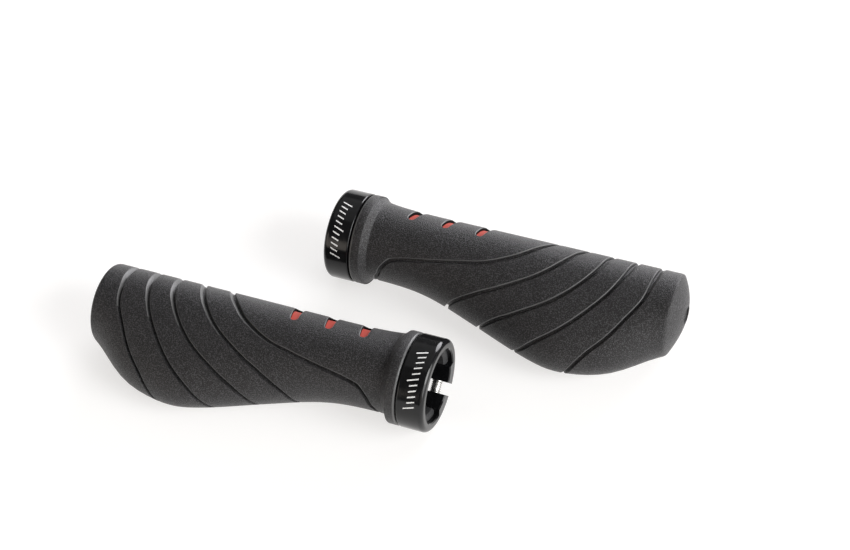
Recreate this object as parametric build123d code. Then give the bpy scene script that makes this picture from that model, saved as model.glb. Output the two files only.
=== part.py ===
from build123d import *
import os
from bisect import bisect_right
from math import cos, degrees, hypot, pi, radians, sin, sqrt

# A pair of locking handlebar grips for a 22.2 mm bar. Both lie on the floor, z = 0, with
# their bars along X: the left grip's closed end points to -X, the right grip's to +X.
# Millimetres throughout.
#
# Each grip is first drawn as a right-hand one about its own bar axis, which is the X axis.
# The face of its clamp ring is at x = 0 and its closed end at x = GRIP_LENGTH. An angle
# around the bar starts at the top and grows towards the palm, on the -Y side.

# Bar and overall size
BAR_RADIUS = 22.2 / 2
BORE_RADIUS = BAR_RADIUS + 0.05
GRIP_LENGTH = 137.4

# Clamp ring: a C with a thick boss on both sides of its slot
RING_RADIUS = 17.3
RING_WIDTH = 10.1
RING_BORE = 13.7
RING_ROUND = 1.8
RING_BACK_ROUND = 0.5
RING_LIP = 0.4
SLOT_ANGLE = -148
SLOT_WIDTH = 4.6
BOSS_HALF_ANGLE = 45

# Clamp screw: M4 x 12 with a narrow socket head, across the slot
SCREW_RADIUS = 4.0 / 2
SCREW_OFFSET = 13.9
SCREW_PITCH = 0.7
THREAD_DEPTH = 0.4
THREAD_FLANK = 0.3
THREAD_CREST = 0.1
THREAD_LEAD = 0.4
THREAD_END = 1.7
SCREW_TIP = 6.4
SCREW_SEAT = 3.7
HEAD_RADIUS = 6.0 / 2
HEAD_HEIGHT = 2.8
HEAD_EDGE = 0.5
HEX_ACROSS_FLATS = 3.0
HEX_DEPTH = 1.7
SCREW_FIT = 0.05
SEAT_GAP = 0.1
COUNTERBORE_RADIUS = HEAD_RADIUS + 0.15

# Hard core: a closed sleeve on the bar with a split tongue under the ring
SLEEVE_RADIUS = 12.9
SLEEVE_START = RING_WIDTH + 0.5
SLEEVE_END = 132.4
BORE_END = 130.4
TONGUE_START = 2.0
TONGUE_RADIUS = RING_BORE - 0.1
TONGUE_SIDE_GAP = 0.4
TONGUE_LEAD_IN = 0.8
CORE_FLANGE_RADIUS = 15.4
CORE_FLANGE_WIDTH = 1.6
KEY_HEIGHT = 1.0
KEY_WIDTH = 2.4
KEY_LENGTH = 92.0
KEY_START = 30.0
KEY_ANGLES = (85, 115, 145)
PIP_RADIUS = 3.0
PIP_END = GRIP_LENGTH - 0.8
PIP_GAP = 0.3

# Red strip in a pocket of the core, proud of it, under the three slots of the cover
STRIP_DEPTH = 0.8
STRIP_RADIUS = SLEEVE_RADIUS + 0.3
STRIP_START = 23.0
STRIP_END = 66.0
STRIP_ANGLES = (-82, 8)

# Rubber cover. Its section is two circles run together: one around the bar, and a smaller
# one that makes the edge of the palm wing, WING_DROP degrees below level.
PALM_RADIUS = 14.4
WING_EDGE_RADIUS = 8.9
WING_DROP = 16.5
BLEND_POWER = 5
# (distance along the bar, distance from the bar axis to the wing edge's centre)
WING_REACH = ((0, -10), (10, -6), (34, 2.6), (62, 13.8), (90, 23.0), (104, 22.9), (118, 18.0),
              (135, 4.0), (146, -5))
FLANGE_END = 15.0
NECK_START = 17.4
NECK_RADIUS = 14.6
FINE_POINTS = 720
SECTION_POINTS = 40
BODY_END = 132.2
BODY_SECTIONS = (16, 26, 38, 50, 62, 74, 86, 97, 108, 118, 126, BODY_END)

# Closed end: a small round, then a shallow dome. The insets are from the skin.
END_BEND = 133.0
END_BEND_INSET = 0.2
DOME_EDGE = 133.6
DOME_INSETS = (0.9, 3, 5.5, 8, 11)

# Three slots through the cover. Each is a round narrow tip near the top of the grip that
# widens, slanted, to a round end on the far side. Drawn on a plane that faces COVER_SLOT_ANGLE.
SLOT_COUNT = 3
FIRST_SLOT = 29.2
SLOT_PITCH = 13.6
COVER_SLOT_ANGLE = -36
COVER_SLOT_SLANT = 10
COVER_SLOT_TIP = -4.7
COVER_SLOT_TIP_RADIUS = 1.8
COVER_SLOT_END_RADIUS = 2.4
COVER_SLOT_REACH = 11.0
COVER_SLOT_FLOOR = 9.9
COVER_SLOT_DEPTH = 10.0

# How the two grips lie beside each other
STAGGER = 62.4
ROW_SPACING = 56.9


def around(angle, radius=1.0):
    """The point at an angle around the bar, as (y, z)."""
    a = radians(angle)
    return (-radius * sin(a), radius * cos(a))


def smooth_curve(points, x):
    """A smooth value at x, on a curve that passes through the points."""
    xs = [p[0] for p in points]
    ys = [p[1] for p in points]
    i = min(max(bisect_right(xs, x) - 1, 1), len(xs) - 3)
    span = xs[i + 1] - xs[i]
    u = (x - xs[i]) / span
    slope_0 = (ys[i + 1] - ys[i - 1]) / (xs[i + 1] - xs[i - 1]) * span
    slope_1 = (ys[i + 2] - ys[i]) / (xs[i + 2] - xs[i]) * span
    start = (1 + 2 * u) * (1 - u) ** 2 * ys[i] + u * (1 - u) ** 2 * slope_0
    return start + u * u * (3 - 2 * u) * ys[i + 1] + u * u * (u - 1) * slope_1


def skin_support(angle, x):
    """Distance from the bar axis to the skin's tangent line that faces this angle."""
    wing_angle = radians(90 + WING_DROP)
    wing = smooth_curve(WING_REACH, x) * cos(angle - wing_angle) + WING_EDGE_RADIUS
    power = BLEND_POWER
    return (PALM_RADIUS ** power + max(wing, 0.01) ** power) ** (1 / power)


def section_outline(x, inset):
    """Evenly spaced points on the skin's section at x, drawn in by inset."""
    count = FINE_POINTS
    step = 2 * pi / count
    support = [skin_support(k * step, x) - inset for k in range(count)]
    fine = []
    for k in range(count):
        slope = (support[(k + 1) % count] - support[k - 1]) / (2 * step)
        a = k * step
        up = support[k] * cos(a) - slope * sin(a)
        out = support[k] * sin(a) + slope * cos(a)
        fine.append((x, -out, up))
    lengths = [0.0]
    for k in range(count):
        p = fine[k]
        q = fine[(k + 1) % count]
        lengths.append(lengths[-1] + hypot(q[1] - p[1], q[2] - p[2]))
    outline = []
    for n in range(SECTION_POINTS):
        along = n * lengths[-1] / SECTION_POINTS
        k = bisect_right(lengths, along) - 1
        part = (along - lengths[k]) / (lengths[k + 1] - lengths[k])
        outline.append(Vector(fine[k]) + (Vector(fine[(k + 1) % count]) - Vector(fine[k])) * part)
    return outline


def section(x, inset=0.0):
    """The face of the skin's section at x."""
    return Face(Wire([Edge.make_spline(section_outline(x, inset), periodic=True)]))


def tube_along_bar(radius, start, end):
    """A solid cylinder about the bar axis."""
    base = Plane.YZ.offset(start)
    return extrude(base * Circle(radius), end - start)


def wedge_along_bar(angle_from, angle_to, start, end):
    """A slice of pie about the bar axis, wider than any grip."""
    reach = 60
    steps = 12
    turn = (angle_to - angle_from) / steps
    rim = [around(angle_from + turn * k, reach) for k in range(steps + 1)]
    face = Plane.YZ.offset(start) * make_face(Polyline([(0, 0)] + rim + [(0, 0)]))
    return extrude(face, end - start)


def slot_plane(x):
    """A plane on the bar axis at x: its X runs along the screw, its Z out through the slot."""
    y, z = around(SLOT_ANGLE)
    return Plane(origin=(x, 0, 0), x_dir=(0, -z, y), z_dir=(0, y, z))


def clamp_ring():
    """The C-shaped ring, with its boss, its slot and the screw's holes."""
    ring = tube_along_bar(RING_RADIUS, 0, RING_WIDTH)
    ring = fillet(ring.edges().sort_by(Axis.X)[0], RING_ROUND)
    ring = fillet(ring.edges().sort_by(Axis.X)[-1], RING_BACK_ROUND)
    hollow = tube_along_bar(RING_BORE, -1, RING_WIDTH + 1)
    boss_from = SLOT_ANGLE - BOSS_HALF_ANGLE
    boss_to = SLOT_ANGLE + BOSS_HALF_ANGLE
    hollow -= wedge_along_bar(boss_from, boss_to, -2, RING_WIDTH + 2)
    ring -= hollow + tube_along_bar(BORE_RADIUS, -1, RING_WIDTH + 1)
    ring = chamfer(ring.edges().group_by(Axis.X)[0].filter_by(GeomType.CIRCLE).sort_by(
        lambda edge: edge.radius)[0:2], RING_LIP)
    across = slot_plane(RING_WIDTH / 2)
    slot = across * Pos(0, 0, RING_RADIUS) * Box(SLOT_WIDTH, 2 * RING_WIDTH, 2 * RING_RADIUS)
    hole_axis = across * Pos(0, 0, SCREW_OFFSET) * Rot(0, 90, 0)
    hole = hole_axis * Cylinder(SCREW_RADIUS + SCREW_FIT, 3 * RING_RADIUS)
    seat = hole_axis * Pos(0, 0, SCREW_SEAT + RING_RADIUS) * Cylinder(
        COUNTERBORE_RADIUS, 2 * RING_RADIUS)
    return ring - slot - hole - seat


def clamp_screw():
    """A socket head screw across the slot, its thread cut as rings."""
    seat = SCREW_SEAT + SEAT_GAP
    top = seat + HEAD_HEIGHT
    root = SCREW_RADIUS - THREAD_DEPTH
    low = THREAD_LEAD - SCREW_TIP
    profile = [(0, -SCREW_TIP), (root, -SCREW_TIP)]
    while low < THREAD_END:
        crest = low + THREAD_FLANK
        profile += [(root, low), (SCREW_RADIUS, crest), (SCREW_RADIUS, crest + THREAD_CREST)]
        low += SCREW_PITCH
    profile += [(root, low), (SCREW_RADIUS, low + THREAD_FLANK)]
    profile += [(SCREW_RADIUS, seat), (HEAD_RADIUS, seat), (HEAD_RADIUS, top - HEAD_EDGE)]
    profile += [(HEAD_RADIUS - HEAD_EDGE, top), (0, top)]
    half = make_face(Plane.XZ * Polyline(profile + [profile[0]]))
    screw = revolve(half, Axis.Z)
    socket = RegularPolygon(HEX_ACROSS_FLATS / 2, 6, major_radius=False)
    screw -= extrude(Pos(0, 0, top) * socket, -HEX_DEPTH)
    return slot_plane(RING_WIDTH / 2) * Pos(0, 0, SCREW_OFFSET) * Rot(0, 90, 0) * screw


def strip_space():
    """The room that the red strip fills in the core and the cover."""
    ring = tube_along_bar(STRIP_RADIUS, STRIP_START, STRIP_END)
    ring -= tube_along_bar(SLEEVE_RADIUS - STRIP_DEPTH, STRIP_START - 1, STRIP_END + 1)
    return ring & wedge_along_bar(*STRIP_ANGLES, STRIP_START - 2, STRIP_END + 2)


def core_outside():
    """The core with no bore: sleeve, flange, keys in the rubber, and the gate pip."""
    solid = tube_along_bar(SLEEVE_RADIUS, SLEEVE_START, SLEEVE_END)
    solid += tube_along_bar(CORE_FLANGE_RADIUS, SLEEVE_START, SLEEVE_START + CORE_FLANGE_WIDTH)
    solid += tube_along_bar(PIP_RADIUS, SLEEVE_END - 1, PIP_END)
    for angle in KEY_ANGLES:
        key = Box(KEY_LENGTH, KEY_WIDTH, KEY_HEIGHT + 1)
        radius = SLEEVE_RADIUS + (KEY_HEIGHT - 1) / 2
        solid += Rot(angle, 0, 0) * Pos(KEY_START + KEY_LENGTH / 2, 0, radius) * key
    return solid


def core():
    """The hard core: a closed sleeve on the bar with a split tongue under the ring."""
    tongue = tube_along_bar(TONGUE_RADIUS, TONGUE_START, SLEEVE_START)
    gap = BOSS_HALF_ANGLE + degrees(TONGUE_SIDE_GAP / RING_BORE)
    tongue -= wedge_along_bar(SLOT_ANGLE - gap, SLOT_ANGLE + gap, 0, SLEEVE_START)
    bore = tube_along_bar(BORE_RADIUS, 0, BORE_END)
    wide = BORE_RADIUS + TONGUE_LEAD_IN
    bore += Solid.make_cone(wide, BORE_RADIUS, TONGUE_LEAD_IN, Plane.YZ.offset(TONGUE_START))
    return core_outside() + tongue - bore - strip_space()


def dome_place(inset):
    """Where along the bar the dome is, at an inset from the skin."""
    edge = PALM_RADIUS - DOME_INSETS[0]
    rise = GRIP_LENGTH - DOME_EDGE
    ball = (edge ** 2 + rise ** 2) / (2 * rise)
    return GRIP_LENGTH - ball + sqrt(ball ** 2 - (PALM_RADIUS - inset) ** 2)


def cover_slots():
    """The three drop-shaped cutters, down to the red strip."""
    tip = Circle(COVER_SLOT_TIP_RADIUS)
    end = Pos(0, COVER_SLOT_REACH) * Circle(COVER_SLOT_END_RADIUS)
    drop = make_hull(tip.edges() + end.edges())
    drop = Pos(0, COVER_SLOT_TIP) * Rot(0, 0, -COVER_SLOT_SLANT) * drop
    cutter = Pos(0, 0, COVER_SLOT_FLOOR) * extrude(drop, COVER_SLOT_DEPTH)
    places = [FIRST_SLOT + n * SLOT_PITCH for n in range(SLOT_COUNT)]
    return [Pos(x, 0, 0) * Rot(COVER_SLOT_ANGLE, 0, 0) * cutter for x in places]


def grip_cover():
    """The rubber cover: flange, body with its palm wing, rounded end, slots and gate hole."""
    body = loft([section(x) for x in BODY_SECTIONS])
    end_faces = [section(BODY_END), section(END_BEND, END_BEND_INSET)]
    end_faces += [section(dome_place(inset), inset) for inset in DOME_INSETS]
    end = loft(end_faces, ruled=True)
    flange = tube_along_bar(RING_RADIUS, SLEEVE_START, FLANGE_END)
    flange = flange + Solid.make_cone(
        RING_RADIUS, NECK_RADIUS, NECK_START - FLANGE_END, Plane.YZ.offset(FLANGE_END))
    cover = body + end + flange
    cover -= core_outside() + strip_space()
    cover -= tube_along_bar(PIP_RADIUS + PIP_GAP, SLEEVE_END, GRIP_LENGTH + 1)
    for cutter in cover_slots():
        cover -= cutter
    return cover


PIECES = {
    "grip_cover": grip_cover(),
    "core": core(),
    "red_strip": strip_space(),
    "clamp_ring": clamp_ring(),
    "clamp_screw": clamp_screw(),
}

# The box of the pair is centred on the origin.
palm_side = PIECES["grip_cover"].bounding_box().min.Y
row_centre = (palm_side + ROW_SPACING + RING_RADIUS) / 2
right_place = Pos(-STAGGER / 2, ROW_SPACING - row_centre, RING_RADIUS)
left_place = Pos(STAGGER / 2, -row_centre, RING_RADIUS)

os.makedirs("parts", exist_ok=True)
for name, piece in PIECES.items():
    export_step(right_place * piece, f"parts/right_{name}.step")
    export_step(left_place * mirror(piece, about=Plane.YZ), f"parts/left_{name}.step")
print("bar axes at y =", -row_centre, "and", ROW_SPACING - row_centre)
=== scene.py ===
import bmesh
import bpy
import numpy as np
from math import asin, cos, pi, radians, sin
from mathutils import Matrix, Vector


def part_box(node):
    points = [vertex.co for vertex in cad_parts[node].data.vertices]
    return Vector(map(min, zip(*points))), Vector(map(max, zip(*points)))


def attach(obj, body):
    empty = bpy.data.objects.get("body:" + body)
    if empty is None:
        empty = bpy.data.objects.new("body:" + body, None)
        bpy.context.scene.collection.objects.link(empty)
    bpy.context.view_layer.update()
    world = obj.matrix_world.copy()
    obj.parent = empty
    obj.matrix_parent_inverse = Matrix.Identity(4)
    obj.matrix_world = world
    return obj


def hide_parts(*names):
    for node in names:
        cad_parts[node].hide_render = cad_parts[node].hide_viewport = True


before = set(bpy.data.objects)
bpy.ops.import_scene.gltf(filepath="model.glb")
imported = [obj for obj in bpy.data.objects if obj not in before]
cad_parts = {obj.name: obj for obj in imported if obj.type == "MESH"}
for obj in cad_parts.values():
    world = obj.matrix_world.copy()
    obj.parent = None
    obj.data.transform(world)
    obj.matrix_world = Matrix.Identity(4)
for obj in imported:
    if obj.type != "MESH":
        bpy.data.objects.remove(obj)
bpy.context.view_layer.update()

# Lengths in this script are millimetres until they are turned into metres by this factor.
MM = 0.001

# Skin of the cover: two circles run together, one around the bar and one at the wing's edge
PALM_RADIUS = 14.4
WING_EDGE_RADIUS = 8.9
WING_DROP = 16.5
BLEND_POWER = 5
LEAST_WING = 0.01
WING_REACH = ((0, -10), (10, -6), (34, 2.6), (62, 13.8), (90, 23.0), (104, 22.9), (118, 18.0),
              (135, 4.0), (146, -5))
FINE_ANGLES = 1440
TABLE_FROM = 8.0
TABLE_TO = 136.0
TABLE_STEP = 0.5
COLUMNS = 320

# Flange beside the clamp ring, as (place along the bar, radius), whose edge stands out a little
# over the start of the bevel, and the rows of its rounded edge's faces, which are painted pale as a
# highlight
FLANGE_START = 10.6
FLANGE_RADIUS = 17.25
BEVEL_START = 14.3
BEVEL_RADIUS = 17.0
FLANGE = ((FLANGE_START, 15.6), (FLANGE_START, 16.2), (10.62, 16.6), (10.7, 16.85), (10.85, 17.05),
          (11.1, 17.2), (11.4, FLANGE_RADIUS), (12.9, FLANGE_RADIUS), (14.3, FLANGE_RADIUS),
          (14.55, 17.17), (BEVEL_START, BEVEL_RADIUS))
FLANGE_EDGE = (3, 6)
# Bevel from the flange down to the neck: (part of its length, how nearly it has reached the skin)
BEVEL = ((0.04, 0.05), (0.12, 0.14), (0.35, 0.38), (0.6, 0.65), (0.8, 0.86), (0.88, 0.94), (0.94, 0.98))
NECK_END = 16.9

# Closed end: its small round, as (place along the bar, inset), its dome and its gate hole
BODY_END = 132.0
GRIP_LENGTH = 137.4
DOME_EDGE = 133.6
DOME_EDGE_INSET = 0.9
END_ROUND = ((132.45, 0.02), (132.8, 0.10), (133.1, 0.25), (133.35, 0.5), (DOME_EDGE, DOME_EDGE_INSET))
DOME_ROWS = 14
GATE_RADIUS = 3.3
GATE_ROUND = 0.25
GATE_MOUTH = ((0.12, GATE_RADIUS + 0.08), (0.35, GATE_RADIUS))

# Inside of the cover, around the core
LINER_RADIUS = 12.85
LINER_FLOOR_RADIUS = 8.0
LINER_END = 132.35
LINER_ROWS = 11
CORE_FLANGE_RADIUS = 15.45
CORE_FLANGE_END = 12.25

# Groove across the skin, as (distance from its centre line, depth): a rounded lip and a steep
# wall on the clamp ring's side, then a narrow floor
GROOVE_WALL = ((-1.10, 0.0), (-0.92, 0.0), (-0.82, 0.03), (-0.74, 0.12), (-0.68, 0.32), (-0.64, 0.70),
               (-0.58, 0.96), (-0.45, 1.05), (0.0, 1.06), (0.2, 1.03))
# Its slope up to the closed end's side, as (part of the slope's width, depth)
GROOVE_SLOPE = ((0.05, 0.98), (0.3, 0.73), (0.6, 0.42), (0.88, 0.13), (0.95, 0.06), (1.0, 0.02),
                (1.06, 0.0), (1.2, 0.0))
# The slope is wide over the top of the grip and narrow towards the palm, where the wall is wider
SLOPE_WIDTHS = (1.35, 0.35)
SLOPE_NARROWS = (-0.06, 0.09)
WALL_WIDENS = 0.2
# Rows of a groove whose faces are its lip, and how many rows of faces its slope has; both are painted
# pale as a highlight, the slope only over the top
LIP_ROWS = (1, 4)
SLOPE_ROWS = 4
# Depth of the grooves, and the part of it that is left over the far side of the grip
GROOVE_DEPTH = 1.25
FAR_DEPTH = 0.25
FAR_SHALLOW = (-0.17, -0.07)
# Groove lines: (part of the way round the section from the top towards the palm, place along
# the bar). Parts past PALM_SIDE are counted back from the top instead.
PALM_SIDE = 0.62
GROOVES = (
    ((-0.25, 88.5), (-0.15, 87.0), (-0.068, 82.6), (0.0, 76.1), (0.036, 70.8), (0.076, 62.3),
     (0.100, 53.5), (0.125, 43.5), (0.150, 33.4), (0.173, 26.9), (0.217, 23.1), (0.26, 21.5),
     (0.304, 19.7), (0.38, 19.2), (0.5, 19.2), (0.62, 40.0)),
    ((-0.25, 99.5), (-0.15, 98.5), (-0.0665, 95.0), (0.0, 90.6), (0.068, 83.2), (0.143, 70.9),
     (0.189, 62.6), (0.236, 55.8), (0.281, 51.9), (0.34, 49.5), (0.42, 48.0), (0.5, 52.0),
     (0.62, 75.0)),
    ((-0.25, 106.8), (-0.15, 107.0), (-0.067, 105.6), (0.0, 103.7), (0.0665, 98.8), (0.133, 90.9),
     (0.207, 78.8), (0.25, 71.9), (0.293, 67.2), (0.3355, 64.5), (0.42, 62.0), (0.5, 66.0),
     (0.62, 86.0)),
    ((-0.25, 115.4), (-0.15, 115.7), (-0.0705, 115.1), (0.0, 113.8), (0.068, 110.6), (0.134, 105.0),
     (0.2, 97.6), (0.267, 88.3), (0.304, 84.2), (0.342, 80.8), (0.42, 77.5), (0.5, 81.0),
     (0.62, 98.0)),
    ((-0.25, 124.4), (-0.15, 124.9), (-0.078, 124.9), (0.0, 124.3), (0.076, 123.0), (0.145, 118.7),
     (0.209, 113.8), (0.269, 107.4), (0.333, 102.3), (0.42, 98.0), (0.5, 101.0), (0.62, 112.0)),
)
# Rows of plain skin before each groove and after the last, and the room they keep at the neck
ROWS_BETWEEN = (44, 12, 9, 9, 9, 7)
NECK_ROOM = 0.1
# Where the grooves come up out of the skin on the far side, and end under the grip
FAR_FADE = (-0.30, -0.24)
UNDER_FADE = (0.40, 0.46)

# Slots through the cover: a narrow round tip near the top that widens to a round far end
SLOT_COUNT = 3
FIRST_SLOT = 29.4
SLOT_PITCH = 13.6
SLOT_ANGLE = -36
SLOT_SLANT = 10
SLOT_TIP = -4.7
SLOT_TIP_RADIUS = 1.4
SLOT_END_RADIUS = 2.1
SLOT_REACH = 11.0
CUTTER_HEIGHTS = (8.5, 19.0)
ARC_STEPS = 24
SIDE_STEPS = 12
SLOT_OUTLINE = 2 * (ARC_STEPS + SIDE_STEPS)
# Wall of a slot: (outwards from its outline, depth under the skin), and the rows of its rim, which are
# painted pale as a highlight, while the rows below them are painted near black as shade
SLOT_WALL = ((0.0, 2.6), (0.0, 0.4), (0.015, 0.26), (0.05, 0.15), (0.11, 0.07), (0.20, 0.01),
             (0.32, -0.05), (0.8, -0.5))
RIM_ROWS = (4, 9)
# Only the skin higher than this can be over a slot
SLOT_SIDE = 3

# Pocket in the cover for the red strip
POCKET_RADIUS = 13.25
POCKET_INSIDE = 12.0
POCKET_START = 22.95
POCKET_END = 66.05
POCKET_ANGLES = (-82.2, 8.2)
POCKET_STEPS = 40

# Places of the cover's materials in its list (the rim and slope places are painted highlight, the wall
# place is painted shade), and the angle of an edge that stays sharp
RIM_PAINTED_HIGHLIGHT_FACE = 1
SLOPE_PAINTED_HIGHLIGHT_FACE = 2
WALL_PAINTED_SHADE_FACE = 3
SHARP_ANGLE = 50

# Scale and detail of the noise in the smoother rubber of the slots' rims and the grooves' lips and
# slopes, painted pale as a highlight, and in the slots' walls, painted near black as shade
SMOOTH_RUBBER = (2000.0, 2.0)

# Printed marks on the clamp rings: every fifth is long
MARK_COUNT = 11
MARK_FROM = -4.0
MARK_PITCH = 7.0
MARK_STEP = 5
MARK_START = 3.2
MARK_SHORT = 2.8
MARK_LONG = 4.0
MARK_WIDTH = 0.5
MARK_SLANT = 0.35
MARK_PARTS = 4
MARK_RADII = (17.28, 17.33)


def smooth_curve(points, x):
    """Smooth values at x, on a curve that passes through the points."""
    xs = np.array([p[0] for p in points], float)
    ys = np.array([p[1] for p in points], float)
    i = np.clip(np.searchsorted(xs, x, side="right") - 1, 1, len(xs) - 3)
    span = xs[i + 1] - xs[i]
    u = (x - xs[i]) / span
    slope_0 = (ys[i + 1] - ys[i - 1]) / (xs[i + 1] - xs[i - 1]) * span
    slope_1 = (ys[i + 2] - ys[i]) / (xs[i + 2] - xs[i]) * span
    start = (1 + 2 * u) * (1 - u) ** 2 * ys[i] + u * (1 - u) ** 2 * slope_0
    return start + u * u * (3 - 2 * u) * ys[i + 1] + u * u * (u - 1) * slope_1


def smooth_ring(points, s):
    """As smooth_curve, for a closed curve whose s runs once round from 0 to 1."""
    points = sorted(points)
    before = [(p[0] - 1, p[1]) for p in points[-3:]]
    after = [(p[0] + 1, p[1]) for p in points[:3]]
    s = (s - points[0][0]) % 1 + points[0][0]
    return smooth_curve(before + points + after, s)


def section_outline(x, inset=0.0):
    """Evenly spaced (out, up) points on the skin's section at x, drawn in by inset."""
    angle = np.linspace(0, 2 * pi, FINE_ANGLES, endpoint=False)
    wing = smooth_curve(WING_REACH, x) * np.cos(angle - radians(90 + WING_DROP)) + WING_EDGE_RADIUS
    power = BLEND_POWER
    support = (PALM_RADIUS ** power + np.maximum(wing, LEAST_WING) ** power) ** (1 / power) - inset
    slope = (np.roll(support, -1) - np.roll(support, 1)) / (2 * (angle[1] - angle[0]))
    up = support * np.cos(angle) - slope * np.sin(angle)
    out = support * np.sin(angle) + slope * np.cos(angle)
    points = np.stack([out, up], 1)
    closed = np.vstack([points, points[:1]])
    lengths = np.concatenate([[0], np.cumsum(np.hypot(*np.diff(closed, axis=0).T))])
    wanted = np.arange(COLUMNS) / COLUMNS * lengths[-1]
    return np.stack([np.interp(wanted, lengths, closed[:, k]) for k in (0, 1)], 1)


STATIONS = np.arange(TABLE_FROM, TABLE_TO, TABLE_STEP)
SKIN = np.array([section_outline(x) for x in STATIONS])
PERIMETER = np.hypot(*np.moveaxis(SKIN - np.roll(SKIN, 1, axis=1), 2, 0)).sum(1)
ALONG = np.gradient(SKIN, TABLE_STEP, axis=0)
AROUND = np.roll(SKIN, -1, axis=1) - np.roll(SKIN, 1, axis=1)
S = np.arange(COLUMNS) / COLUMNS


def in_table(table, x):
    """One value of a table per column, at the place x of each column."""
    f = np.clip((x - TABLE_FROM) / TABLE_STEP, 0, len(STATIONS) - 1.001)
    i = f.astype(int)
    part = (f - i)[:, None]
    column = np.arange(COLUMNS)
    return table[i, column] * (1 - part) + table[i + 1, column] * part


def skin_row(x, depth):
    """A row of (x, out, up) points on the skin, pushed in by depth along its normal."""
    point = in_table(SKIN, x)
    along = in_table(ALONG, x)
    around = in_table(AROUND, x)
    u = np.stack([np.ones(COLUMNS), along[:, 0], along[:, 1]], 1)
    v = np.stack([np.zeros(COLUMNS), around[:, 0], around[:, 1]], 1)
    normal = np.cross(u, v)
    normal /= np.linalg.norm(normal, axis=1)[:, None]
    return np.column_stack([x, point]) - normal * depth[:, None]


def circle_row(x, radius):
    """A row of (x, out, up) points on a circle about the bar axis."""
    angle = 2 * pi * S
    return np.column_stack([np.full(COLUMNS, x), radius * np.sin(angle), radius * np.cos(angle)])


def step_up(edges, s):
    """0 below the first edge and 1 above the second, smooth between."""
    t = np.clip((s - edges[0]) / (edges[1] - edges[0]), 0, 1)
    return t * t * (3 - 2 * t)


def groove_rows(points, lower_limit):
    """The rows across one groove, from the clamp ring's side to the closed end's side."""
    centre = smooth_ring(points, S)
    perimeter = np.interp(centre, STATIONS, PERIMETER)
    slope = (np.roll(centre, -1) - np.roll(centre, 1)) * COLUMNS / 2 / perimeter
    stretch = np.sqrt(1 + slope ** 2)
    signed = np.where(S > PALM_SIDE, S - 1, S)
    fade = step_up(FAR_FADE, signed) * (1 - step_up(UNDER_FADE, signed))
    fade = fade * GROOVE_DEPTH * (FAR_DEPTH + (1 - FAR_DEPTH) * step_up(FAR_SHALLOW, signed))
    rows = []
    narrow = step_up(SLOPE_NARROWS, signed)
    width = SLOPE_WIDTHS[0] + (SLOPE_WIDTHS[1] - SLOPE_WIDTHS[0]) * narrow
    wall = 1 + WALL_WIDENS * narrow
    for offset, depth in GROOVE_WALL:
        rows.append((np.maximum(centre + offset * wall * stretch, lower_limit), depth * fade))
    for part, depth in GROOVE_SLOPE:
        x = centre + (GROOVE_WALL[-1][0] * wall + part * width) * stretch
        rows.append((np.maximum(x, lower_limit), depth * fade))
    return rows


def rows_between(low, high, count):
    """Evenly spaced rows between two rows, on the skin."""
    parts = [(k + 1) / (count + 1) for k in range(count)]
    return [(low + (high - low) * part, np.zeros(COLUMNS)) for part in parts]


def body_rows():
    """All the rows from the neck to the start of the closed end."""
    zero = np.zeros(COLUMNS)
    rows = [(np.full(COLUMNS, NECK_END), zero)]
    for n, points in enumerate(GROOVES):
        across = groove_rows(points, NECK_END + NECK_ROOM)
        rows += rows_between(rows[-1][0], across[0][0], ROWS_BETWEEN[n]) + across
    end = np.full(COLUMNS, BODY_END)
    rows += rows_between(rows[-1][0], end, ROWS_BETWEEN[-1]) + [(end, zero)]
    return [skin_row(x, depth) for x, depth in rows]


def flange_rows():
    """The flange beside the clamp ring and its hollow bevel down to the neck."""
    rows = [circle_row(x, radius) for x, radius in FLANGE]
    for part, weight in BEVEL:
        x = BEVEL_START + (NECK_END - BEVEL_START) * part
        skin = skin_row(np.full(COLUMNS, x), np.zeros(COLUMNS))
        rows.append(circle_row(x, BEVEL_RADIUS) * (1 - weight) + skin * weight)
    return rows


def end_row(x, inset, weight):
    """A row drawn in from the skin, and part of the way to the gate's circle."""
    outline = section_outline(x, inset)
    row = np.column_stack([np.full(COLUMNS, x), outline])
    return row * (1 - weight) + circle_row(x, PALM_RADIUS - inset) * weight


def end_rows():
    """The small round, the dome, the gate hole and the liner back to the flange."""
    rows = [end_row(x, inset, 0) for x, inset in END_ROUND]
    edge = PALM_RADIUS - DOME_EDGE_INSET
    height = GRIP_LENGTH - DOME_EDGE
    ball = (edge ** 2 + height ** 2) / (2 * height)
    last = PALM_RADIUS - GATE_RADIUS - GATE_ROUND
    for inset in np.linspace(DOME_EDGE_INSET, last, DOME_ROWS + 1)[1:]:
        x = GRIP_LENGTH - ball + (ball ** 2 - (PALM_RADIUS - inset) ** 2) ** 0.5
        weight = (inset - DOME_EDGE_INSET) / (last - DOME_EDGE_INSET)
        rows.append(end_row(x, inset, weight))
    rows += [circle_row(GRIP_LENGTH - depth, radius) for depth, radius in GATE_MOUTH]
    rows += [circle_row(LINER_END, radius) for radius in (GATE_RADIUS, LINER_FLOOR_RADIUS, LINER_RADIUS)]
    for x in np.linspace(LINER_END, CORE_FLANGE_END, LINER_ROWS + 1)[1:]:
        rows.append(circle_row(x, LINER_RADIUS))
    rows += [circle_row(x, CORE_FLANGE_RADIUS) for x in (CORE_FLANGE_END, FLANGE_START)]
    return rows


def new_object(name, vertices, faces):
    """A mesh object, with its vertices in metres."""
    mesh = bpy.data.meshes.new(name)
    mesh.from_pydata([tuple(v) for v in vertices], [], faces)
    mesh.update()
    thing = bpy.data.objects.new(name, mesh)
    bpy.context.scene.collection.objects.link(thing)
    return thing


def grid_faces(rows, columns, closed_rows):
    """Quads between rows that each close on themselves."""
    faces = []
    for i in range(rows if closed_rows else rows - 1):
        a = i * columns
        b = (i + 1) % rows * columns
        for j in range(columns):
            k = (j + 1) % columns
            faces.append((a + j, b + j, b + k, a + k))
    return faces


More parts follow.
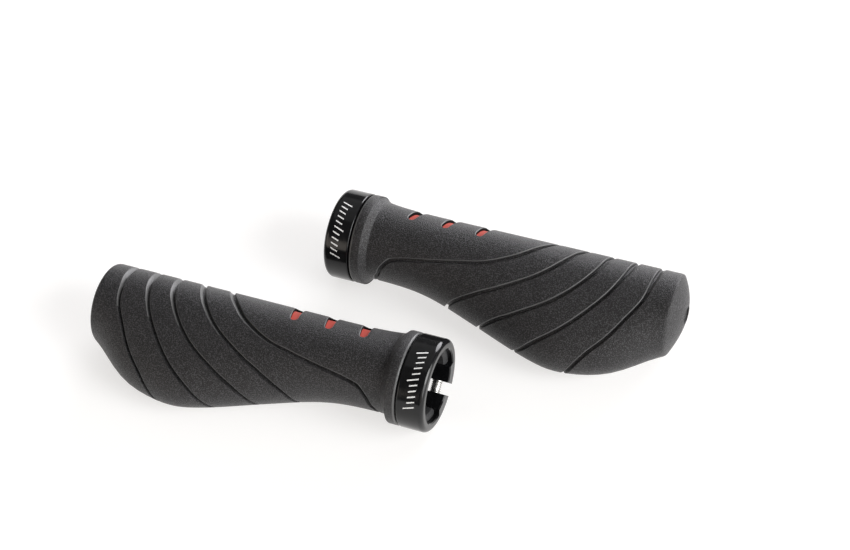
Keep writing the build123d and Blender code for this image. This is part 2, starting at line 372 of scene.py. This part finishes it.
def placed(points, hand):
    """Points about the bar axis, as metres in the row's frame, for the left or right grip."""
    low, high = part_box(hand + "_clamp_ring")
    side = 1 if hand == "right" else -1
    face = low.x if hand == "right" else high.x
    centre_y = (low.y + high.y) / 2
    centre_z = (low.z + high.z) / 2
    x = face + side * points[:, 0] * MM
    return np.column_stack([x, centre_y - points[:, 1] * MM, centre_z + points[:, 2] * MM])


def arc(centre, radius, start, span):
    """Points on an arc of a slot's outline, whose centre lies on the slot's middle line."""
    angles = [start + span * k / ARC_STEPS for k in range(ARC_STEPS + 1)]
    return [(radius * cos(a), centre + radius * sin(a)) for a in angles]


def straight(start, end):
    """Evenly spaced points between two points of a slot's outline."""
    parts = [k / SIDE_STEPS for k in range(1, SIDE_STEPS)]
    return [tuple(a + (b - a) * part for a, b in zip(start, end)) for part in parts]


def slot_outline(grow):
    """The outline of a slot in its own plane, grown outwards, as (along the bar, across)."""
    slope = asin((SLOT_END_RADIUS - SLOT_TIP_RADIUS) / SLOT_REACH)
    end = arc(SLOT_REACH, SLOT_END_RADIUS + grow, -slope, pi + 2 * slope)
    tip = arc(0, SLOT_TIP_RADIUS + grow, pi + slope, pi - 2 * slope)
    points = end + straight(end[-1], tip[0]) + tip + straight(tip[-1], end[0])
    turn = radians(-SLOT_SLANT)
    return np.array([(u * cos(turn) - v * sin(turn), SLOT_TIP + u * sin(turn) + v * cos(turn))
                     for u, v in points])


def slot_cutter(n):
    """Vertices and faces of one slot's cutter, whose wall rounds over to meet the skin."""
    tilt = radians(SLOT_ANGLE)
    walls = [(SLOT_WALL[0], CUTTER_HEIGHTS[0])]
    walls += [(wall, None) for wall in SLOT_WALL]
    walls.append((SLOT_WALL[-1], CUTTER_HEIGHTS[1]))
    points = []
    for (grow, depth), height in walls:
        for x, across in slot_outline(grow):
            x = x + FIRST_SLOT + n * SLOT_PITCH
            section = SKIN[int(round((x - TABLE_FROM) / TABLE_STEP))]
            far = -section[:, 0] * cos(tilt) + section[:, 1] * sin(tilt)
            high = section[:, 0] * sin(tilt) + section[:, 1] * cos(tilt)
            over = high > SLOT_SIDE
            order = np.argsort(far[over])
            top = height or np.interp(across, far[over][order], high[over][order]) - depth
            out = top * sin(tilt) - across * cos(tilt)
            points.append((x, out, across * sin(tilt) + top * cos(tilt)))
    count = SLOT_OUTLINE
    points = np.array(points)
    last = len(points) - count
    points = np.vstack([points, points[:count].mean(0), points[-count:].mean(0)])
    faces = grid_faces(len(walls), count, False)
    for j in range(count):
        k = (j + 1) % count
        faces.append((j, k, last + count))
        faces.append((last + k, last + j, last + count + 1))
    return points, faces


def pocket_cutter():
    """Vertices and faces of the room that the red strip needs in the cover."""
    angles = np.radians(np.linspace(*POCKET_ANGLES, POCKET_STEPS + 1))
    rim = [(POCKET_RADIUS * sin(a), POCKET_RADIUS * cos(a)) for a in angles]
    rim += [(POCKET_INSIDE * sin(a), POCKET_INSIDE * cos(a)) for a in angles[::-1]]
    points = np.array([(x, *p) for x in (POCKET_START, POCKET_END) for p in rim])
    faces = grid_faces(2, len(rim), False)
    for k in range(POCKET_STEPS):
        other = 2 * POCKET_STEPS + 1 - k
        for end, turn in ((0, 1), (len(rim), -1)):
            faces.append(tuple(end + i for i in (k, k + 1, other - 1, other)[::turn]))
    return points, faces


def face_outwards(thing):
    """Turns a closed mesh's faces to look outwards."""
    mesh = bmesh.new()
    mesh.from_mesh(thing.data)
    if mesh.calc_volume(signed=True) < 0:
        bmesh.ops.reverse_faces(mesh, faces=mesh.faces)
    mesh.to_mesh(thing.data)
    mesh.free()


def rubber_object(name, vertices, faces):
    """A mesh object that has the cover's materials and whose faces look outwards."""
    thing = new_object(name, vertices, faces)
    for made in COVER_MATERIALS:
        thing.data.materials.append(made)
    face_outwards(thing)
    return thing


def give_faces(thing, faces, place):
    """Gives some of an object's faces the material at a place in its list."""
    for k in faces:
        thing.data.polygons[k].material_index = place


def cut(thing, cutters):
    """Takes the cutters' space out of a mesh and deletes them."""
    for cutter in cutters:
        change = thing.modifiers.new("cut", "BOOLEAN")
        change.operation = "DIFFERENCE"
        change.solver = "MANIFOLD"
        change.object = cutter
    bpy.context.view_layer.update()
    done = bpy.data.meshes.new_from_object(thing.evaluated_get(bpy.context.evaluated_depsgraph_get()))
    thing.modifiers.clear()
    thing.data = done
    for cutter in cutters:
        bpy.data.objects.remove(cutter)


def smooth_painted_highlight_faces():
    """Which faces of the cover are the flange's edge, its grooves' lips and their slopes on top, which
    are painted pale as a highlight.
    """
    grooved = [j for j in range(COLUMNS) if not UNDER_FADE[0] < S[j] < 1 + FAR_FADE[1]]
    # The slopes get the painted highlight only over the top, where the light falls on them.
    over_top = [j for j in grooved if not SLOPE_NARROWS[1] < S[j] < 1 + FAR_FADE[1]]
    found = list(range(FLANGE_EDGE[0] * COLUMNS, FLANGE_EDGE[1] * COLUMNS))
    row = len(flange_rows()) + 1
    for between in ROWS_BETWEEN[:len(GROOVES)]:
        row += between
        for across in range(row + LIP_ROWS[0], row + LIP_ROWS[1]):
            found += [across * COLUMNS + j for j in grooved]
        row += len(GROOVE_WALL)
        for across in range(row, row + SLOPE_ROWS):
            found += [across * COLUMNS + j for j in over_top]
        row += len(GROOVE_SLOPE)
    return found


def cover_mesh(hand):
    """The rubber cover of one grip, as a closed mesh with its three slots cut."""
    rows = flange_rows() + body_rows() + end_rows()
    faces = grid_faces(len(rows), COLUMNS, True)
    thing = rubber_object(hand + "_rubber_cover", placed(np.vstack(rows), hand), faces)
    # The flange's edge and the grooves' lips and top slopes are painted pale as a highlight.
    give_faces(thing, smooth_painted_highlight_faces(), SLOPE_PAINTED_HIGHLIGHT_FACE)
    points, faces = pocket_cutter()
    cutters = [rubber_object("cutter", placed(points, hand), faces)]
    rim_start, rim_end = (row * SLOT_OUTLINE for row in RIM_ROWS)
    for n in range(SLOT_COUNT):
        points, faces = slot_cutter(n)
        cutter = rubber_object("cutter", placed(points, hand), faces)
        # The wall's faces under the rim get a near-black colour that is painted shade.
        give_faces(cutter, range(rim_start), WALL_PAINTED_SHADE_FACE)
        # The rim's faces get a pale colour that is a painted highlight.
        give_faces(cutter, range(rim_start, rim_end), RIM_PAINTED_HIGHLIGHT_FACE)
        cutters.append(cutter)
    cut(thing, cutters)
    thing.data.shade_smooth()
    thing.data.set_sharp_from_angle(angle=radians(SHARP_ANGLE))
    return thing


def marks_mesh(hand):
    """A scale of slanted marks printed on a clamp ring, as thin closed bars on its outside."""
    points = []
    faces = []
    for n in range(MARK_COUNT):
        length = MARK_LONG if n % MARK_STEP == 0 else MARK_SHORT
        for part in np.linspace(0, 1, MARK_PARTS + 1):
            x = MARK_START + length * part
            slant = MARK_SLANT * (x - MARK_START) / MARK_RADII[0]
            middle = radians(MARK_FROM + n * MARK_PITCH) + slant
            half = MARK_WIDTH / 2 / MARK_RADII[0]
            angles = (middle - half, middle - half, middle + half, middle + half)
            for radius, a in zip(MARK_RADII + MARK_RADII[::-1], angles):
                points.append((x, radius * sin(a), radius * cos(a)))
        first = n * 4 * (MARK_PARTS + 1)
        last = first + 4 * MARK_PARTS
        faces += [tuple(first + i for i in face) for face in grid_faces(MARK_PARTS + 1, 4, False)]
        faces += [(first, first + 1, first + 2, first + 3), (last + 3, last + 2, last + 1, last)]
    thing = new_object(hand + "_ring_marks", placed(np.array(points), hand), faces)
    face_outwards(thing)
    return thing


def material(name):
    """A new node material, its nodes, its links and its shader."""
    made = bpy.data.materials.new(name)
    made.use_nodes = True
    tree = made.node_tree
    return made, tree, tree.nodes["Principled BSDF"]


def node(tree, kind, **values):
    """A shader node with its input values set by name."""
    made = tree.nodes.new(kind)
    for name, value in values.items():
        made.inputs[name.replace("_", " ")].default_value = value
    return made


def coordinates(tree):
    """The socket with a point's own coordinates in metres."""
    return tree.nodes.new("ShaderNodeTexCoord").outputs["Object"]


def noise(tree, scale, detail=2.0, roughness=0.5):
    """The value socket of a noise texture in the piece's own coordinates."""
    made = node(tree, "ShaderNodeTexNoise", Scale=scale, Detail=detail, Roughness=roughness)
    tree.links.new(coordinates(tree), made.inputs["Vector"])
    return made.outputs["Fac"]


def ramp(tree, value, low, high, color_low, color_high):
    """A colour that goes from one to another as a value goes from low to high."""
    made = tree.nodes.new("ShaderNodeValToRGB")
    made.color_ramp.elements[0].position = low
    made.color_ramp.elements[1].position = high
    made.color_ramp.elements[0].color = (*color_low, 1)
    made.color_ramp.elements[1].color = (*color_high, 1)
    tree.links.new(value, made.inputs["Fac"])
    return made.outputs["Color"]


def bump(tree, shader, heights):
    """Adds bumps, given as (height socket, strength, distance in metres), to a shader."""
    below = None
    for height, strength, distance in heights:
        made = node(tree, "ShaderNodeBump", Strength=strength, Distance=distance)
        tree.links.new(height, made.inputs["Height"])
        if below:
            tree.links.new(below, made.inputs["Normal"])
        below = made.outputs["Normal"]
    tree.links.new(below, shader.inputs["Normal"])


def grey(value):
    """A grey of one value, as a colour."""
    return (value, value, value)


def rubber_material():
    """Charcoal rubber with a fine moulded grain."""
    made, tree, shader = material("rubber")
    grain = noise(tree, 2600.0, 2.0, 0.6)
    specks = noise(tree, 2700.0, 0.0, 0.5)
    cloud = noise(tree, 90.0, 3.0)
    dark = ramp(tree, grain, 0.3, 0.75, (0.0045, 0.0043, 0.0045), (0.011, 0.0105, 0.011))
    light = ramp(tree, specks, 0.50, 0.66, grey(0.0), (0.038, 0.0367, 0.039))
    both = tree.nodes.new("ShaderNodeVectorMath")
    both.operation = "ADD"
    tree.links.new(dark, both.inputs[0])
    tree.links.new(light, both.inputs[1])
    tree.links.new(both.outputs["Vector"], shader.inputs["Base Color"])
    tree.links.new(ramp(tree, cloud, 0.3, 0.7, grey(0.42), grey(0.49)), shader.inputs["Roughness"])
    shader.inputs["Specular IOR Level"].default_value = 0.38
    shader.inputs["Sheen Weight"].default_value = 0.07
    shader.inputs["Sheen Roughness"].default_value = 0.4
    bump(tree, shader, [(grain, 0.9, 0.0003)])
    return made


def grained_material(name, fineness, colors, roughness, bumps=None):
    """A material whose colour, roughness and bumps all follow one noise, and its shader."""
    made, tree, shader = material(name)
    grain = noise(tree, *fineness)
    tree.links.new(ramp(tree, grain, 0.3, 0.7, *colors), shader.inputs["Base Color"])
    greys = [grey(value) for value in roughness]
    tree.links.new(ramp(tree, grain, 0.3, 0.7, *greys), shader.inputs["Roughness"])
    if bumps:
        bump(tree, shader, [(grain, *bumps)])
    return made, shader


def rim_painted_highlight_material():
    """The rims of the slots, smoother than the skin, with a pale colour that is a painted highlight."""
    colors = (grey(0.10), grey(0.15))
    return grained_material("rubber_rim_painted_highlight", SMOOTH_RUBBER, colors, (0.30, 0.38), (0.2, 0.0001))[0]


def slope_painted_highlight_material():
    """The smoother rubber of the grooves' lips and slopes and the flange's edge, with a pale colour that
    is a painted highlight.
    """
    colors = (grey(0.065), grey(0.10))
    return grained_material("rubber_slope_painted_highlight", SMOOTH_RUBBER, colors, (0.38, 0.46), (0.3, 0.0001))[0]


def wall_painted_shade_material():
    """The dull walls of the slots, painted near black as the shade deep inside them."""
    colors = (grey(0.003), grey(0.006))
    made, shader = grained_material("rubber_wall_painted_shade", SMOOTH_RUBBER, colors, (0.75, 0.85))
    shader.inputs["Specular IOR Level"].default_value = 0.1
    return made


def ring_material():
    """Gloss black finish that is not quite even."""
    made, tree, shader = material("ring_black")
    shader.inputs["Specular IOR Level"].default_value = 0.35
    uneven = noise(tree, 400.0, 4.0)
    tree.links.new(ramp(tree, uneven, 0.3, 0.7, (0.003, 0.003, 0.0033), (0.006, 0.006, 0.0066)),
                   shader.inputs["Base Color"])
    tree.links.new(ramp(tree, uneven, 0.3, 0.7, grey(0.10), grey(0.16)), shader.inputs["Roughness"])
    bump(tree, shader, [(noise(tree, 5000.0, 2.0), 0.05, 0.00005)])
    return made


def plastic_material(name, colors, roughness):
    """Moulded plastic with a slight grain."""
    return grained_material(name, (1500.0, 3.0), colors, roughness, (0.2, 0.0001))[0]


def marks_material():
    """White printing ink."""
    colors = (grey(0.70), (0.80, 0.80, 0.79))
    return grained_material("white_ink", (900.0, 3.0), colors, (0.4, 0.5), (0.1, 0.00005))[0]


def steel_material():
    """Bright zinc plated steel."""
    colors = ((0.62, 0.61, 0.59), (0.78, 0.78, 0.77))
    made, shader = grained_material("screw_steel", (1200.0, 3.0), colors, (0.22, 0.34), (0.1, 0.00005))
    shader.inputs["Metallic"].default_value = 1.0
    return made


def floor_material():
    """A plain pale floor that also glows a little, so that its shadows stay faint."""
    made, tree, shader = material("floor")
    tree.links.new(ramp(tree, noise(tree, 3.0, 2.0), 0.3, 0.7, grey(0.40), grey(0.42)),
                   shader.inputs["Base Color"])
    shader.inputs["Roughness"].default_value = 0.9
    shader.inputs["Emission Color"].default_value = (1.0, 0.985, 0.97, 1)
    shader.inputs["Emission Strength"].default_value = 0.66
    return made


def paint(thing, *materials):
    """Gives an object its materials and keeps which face has which."""
    faces = [face.material_index for face in thing.data.polygons]
    thing.data.materials.clear()
    for made in materials:
        thing.data.materials.append(made)
    thing.data.polygons.foreach_set("material_index", faces)


# The rubber, then the rim and slope rubbers painted pale as highlight and the wall rubber painted near
# black as shade.
COVER_MATERIALS = (rubber_material(), rim_painted_highlight_material(), slope_painted_highlight_material(), wall_painted_shade_material())
MARKS_MATERIAL = marks_material()
CORE_COLORS = ((0.018, 0.018, 0.019), (0.028, 0.028, 0.029))
RED_COLORS = ((0.42, 0.034, 0.017), (0.48, 0.044, 0.022))
NODE_MATERIALS = {
    "core": plastic_material("core_plastic", CORE_COLORS, (0.45, 0.55)),
    "red_strip": plastic_material("red_plastic", RED_COLORS, (0.60, 0.70)),
    "clamp_ring": ring_material(),
    "clamp_screw": steel_material(),
}

for hand in ("left", "right"):
    cover = cover_mesh(hand)
    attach(cover, "grips")
    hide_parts(hand + "_grip_cover")
    paint(cover, *COVER_MATERIALS)
    marks = marks_mesh(hand)
    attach(marks, hand + "_ring")
    paint(marks, MARKS_MATERIAL)
    for kind, made in NODE_MATERIALS.items():
        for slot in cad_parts[hand + "_" + kind].material_slots:
            slot.material = made

# Camera: its back axis from azimuth and elevation, then a roll; its place is in metres
CAMERA_PLACE = (0.1910, -0.3386, 0.5091)
CAMERA_LENS = 71.86
azimuth = radians(26.72)
elevation = radians(50.36)
roll = radians(7.50)
back = Vector((sin(azimuth) * cos(elevation), -cos(azimuth) * cos(elevation), sin(elevation)))
level = Vector((cos(azimuth), sin(azimuth), 0))
rise = back.cross(level)
right = level * cos(roll) - rise * sin(roll)
up = level * sin(roll) + rise * cos(roll)
camera_data = bpy.data.cameras.new("camera")
camera_data.lens = CAMERA_LENS
camera_data.sensor_width = 36
camera = bpy.data.objects.new("camera", camera_data)
turned = Matrix((right, up, back)).transposed().to_4x4()
camera.matrix_world = Matrix.Translation(CAMERA_PLACE) @ turned
bpy.context.scene.collection.objects.link(camera)
bpy.context.scene.camera = camera

# Soft distant lights: name, direction it comes from, spread in degrees, strength and colour
WHITE = (1, 1, 1)
SUNS = (("behind", (0.25, 1.0, 0.24), 45, 3.9, (0.97, 0.96, 1.0)),
        ("low right", (1.0, -0.15, 0.26), 60, 3.6, WHITE),
        ("high right", (0.85, -0.1, 0.50), 30, 1.6, WHITE),
        ("above", (0.0, 0.6, 1.0), 80, 0.4, WHITE),
        ("front left", (-0.8, -1.0, 0.35), 40, 0.7, (1.0, 0.90, 0.80)),
        ("front right", (0.8, -1.0, 0.35), 40, 0.25, (1.0, 0.93, 0.86)))
WORLD_STRENGTH = 0.12
FLOOR_SIZE = 8


def soft_sun(name, towards, spread, strength, color):
    """A distant round soft light, in the direction of a vector, spread over some degrees."""
    data = bpy.data.lights.new(name, "SUN")
    data.angle = radians(spread)
    data.energy = strength
    data.color = color
    light = bpy.data.objects.new(name, data)
    light.rotation_euler = Vector(towards).to_track_quat("Z", "Y").to_euler()
    bpy.context.scene.collection.objects.link(light)


bpy.ops.mesh.primitive_plane_add(size=FLOOR_SIZE)
floor = bpy.context.object
floor.name = "floor"
paint(floor, floor_material())

bpy.context.scene.view_settings.view_transform = "Standard"
world = bpy.data.worlds.new("studio")
bpy.context.scene.world = world
world.use_nodes = True
background = world.node_tree.nodes["Background"]
background.inputs["Color"].default_value = (*WHITE, 1)
background.inputs["Strength"].default_value = WORLD_STRENGTH
for sun in SUNS:
    soft_sun(*sun)
